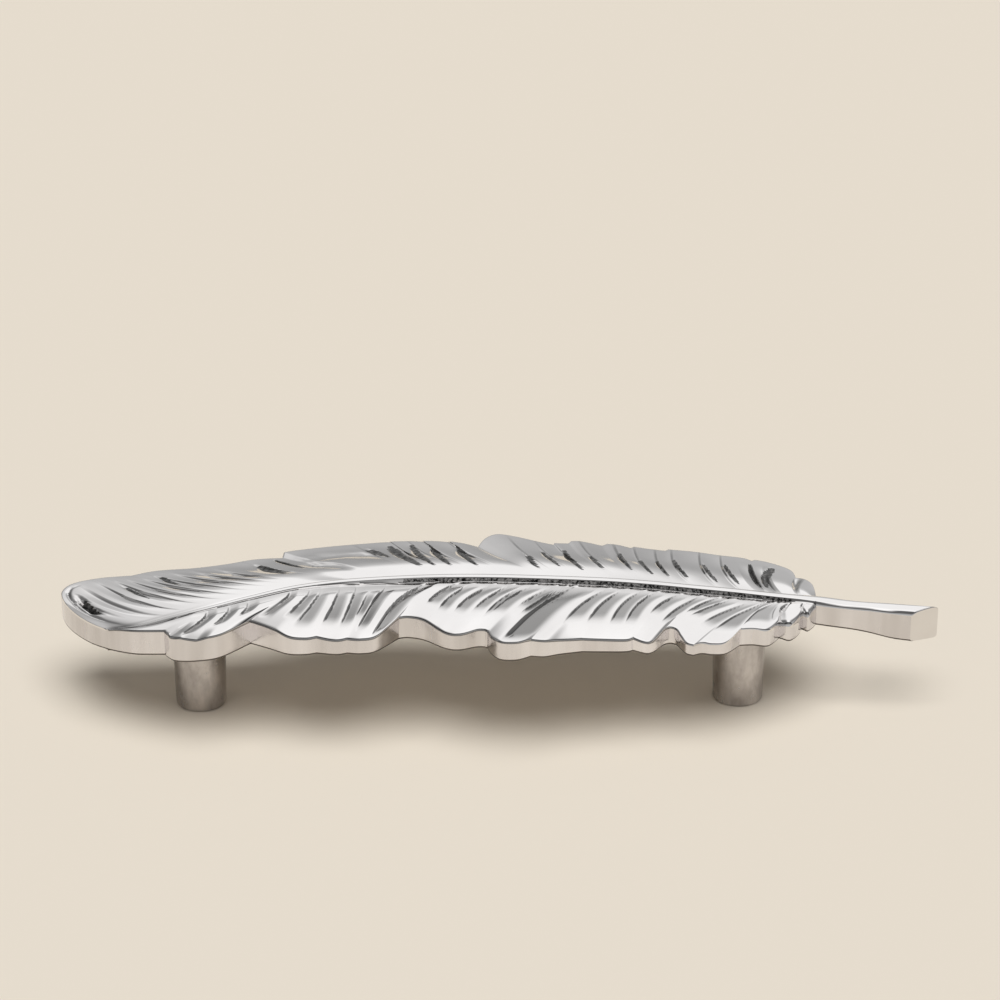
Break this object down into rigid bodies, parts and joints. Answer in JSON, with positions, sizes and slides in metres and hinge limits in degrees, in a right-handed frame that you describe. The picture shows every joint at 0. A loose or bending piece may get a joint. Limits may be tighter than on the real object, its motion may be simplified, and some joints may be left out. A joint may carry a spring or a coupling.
{
  "type": "drawer pull",
  "caption": "Drawer pull in the shape of a feather, cast in one piece with round posts that stand under the vane.",
  "frame": {"origin": "bottom centre of the part's box, level with the feet of the posts, where they meet the drawer front", "axes": "+X along the feather from the tip of the vane to the end of the quill, +Y to the wider far vane, +Z away from the drawer front"},
  "size_m": [0.1568, 0.0452, 0.0242],
  "materials": {
    "polished_metal": "polished bright plating, satin on the posts"
  },
  "bodies": {
    "root": {"feather_pull": "polished_metal"}
  },
  "joints": []
}
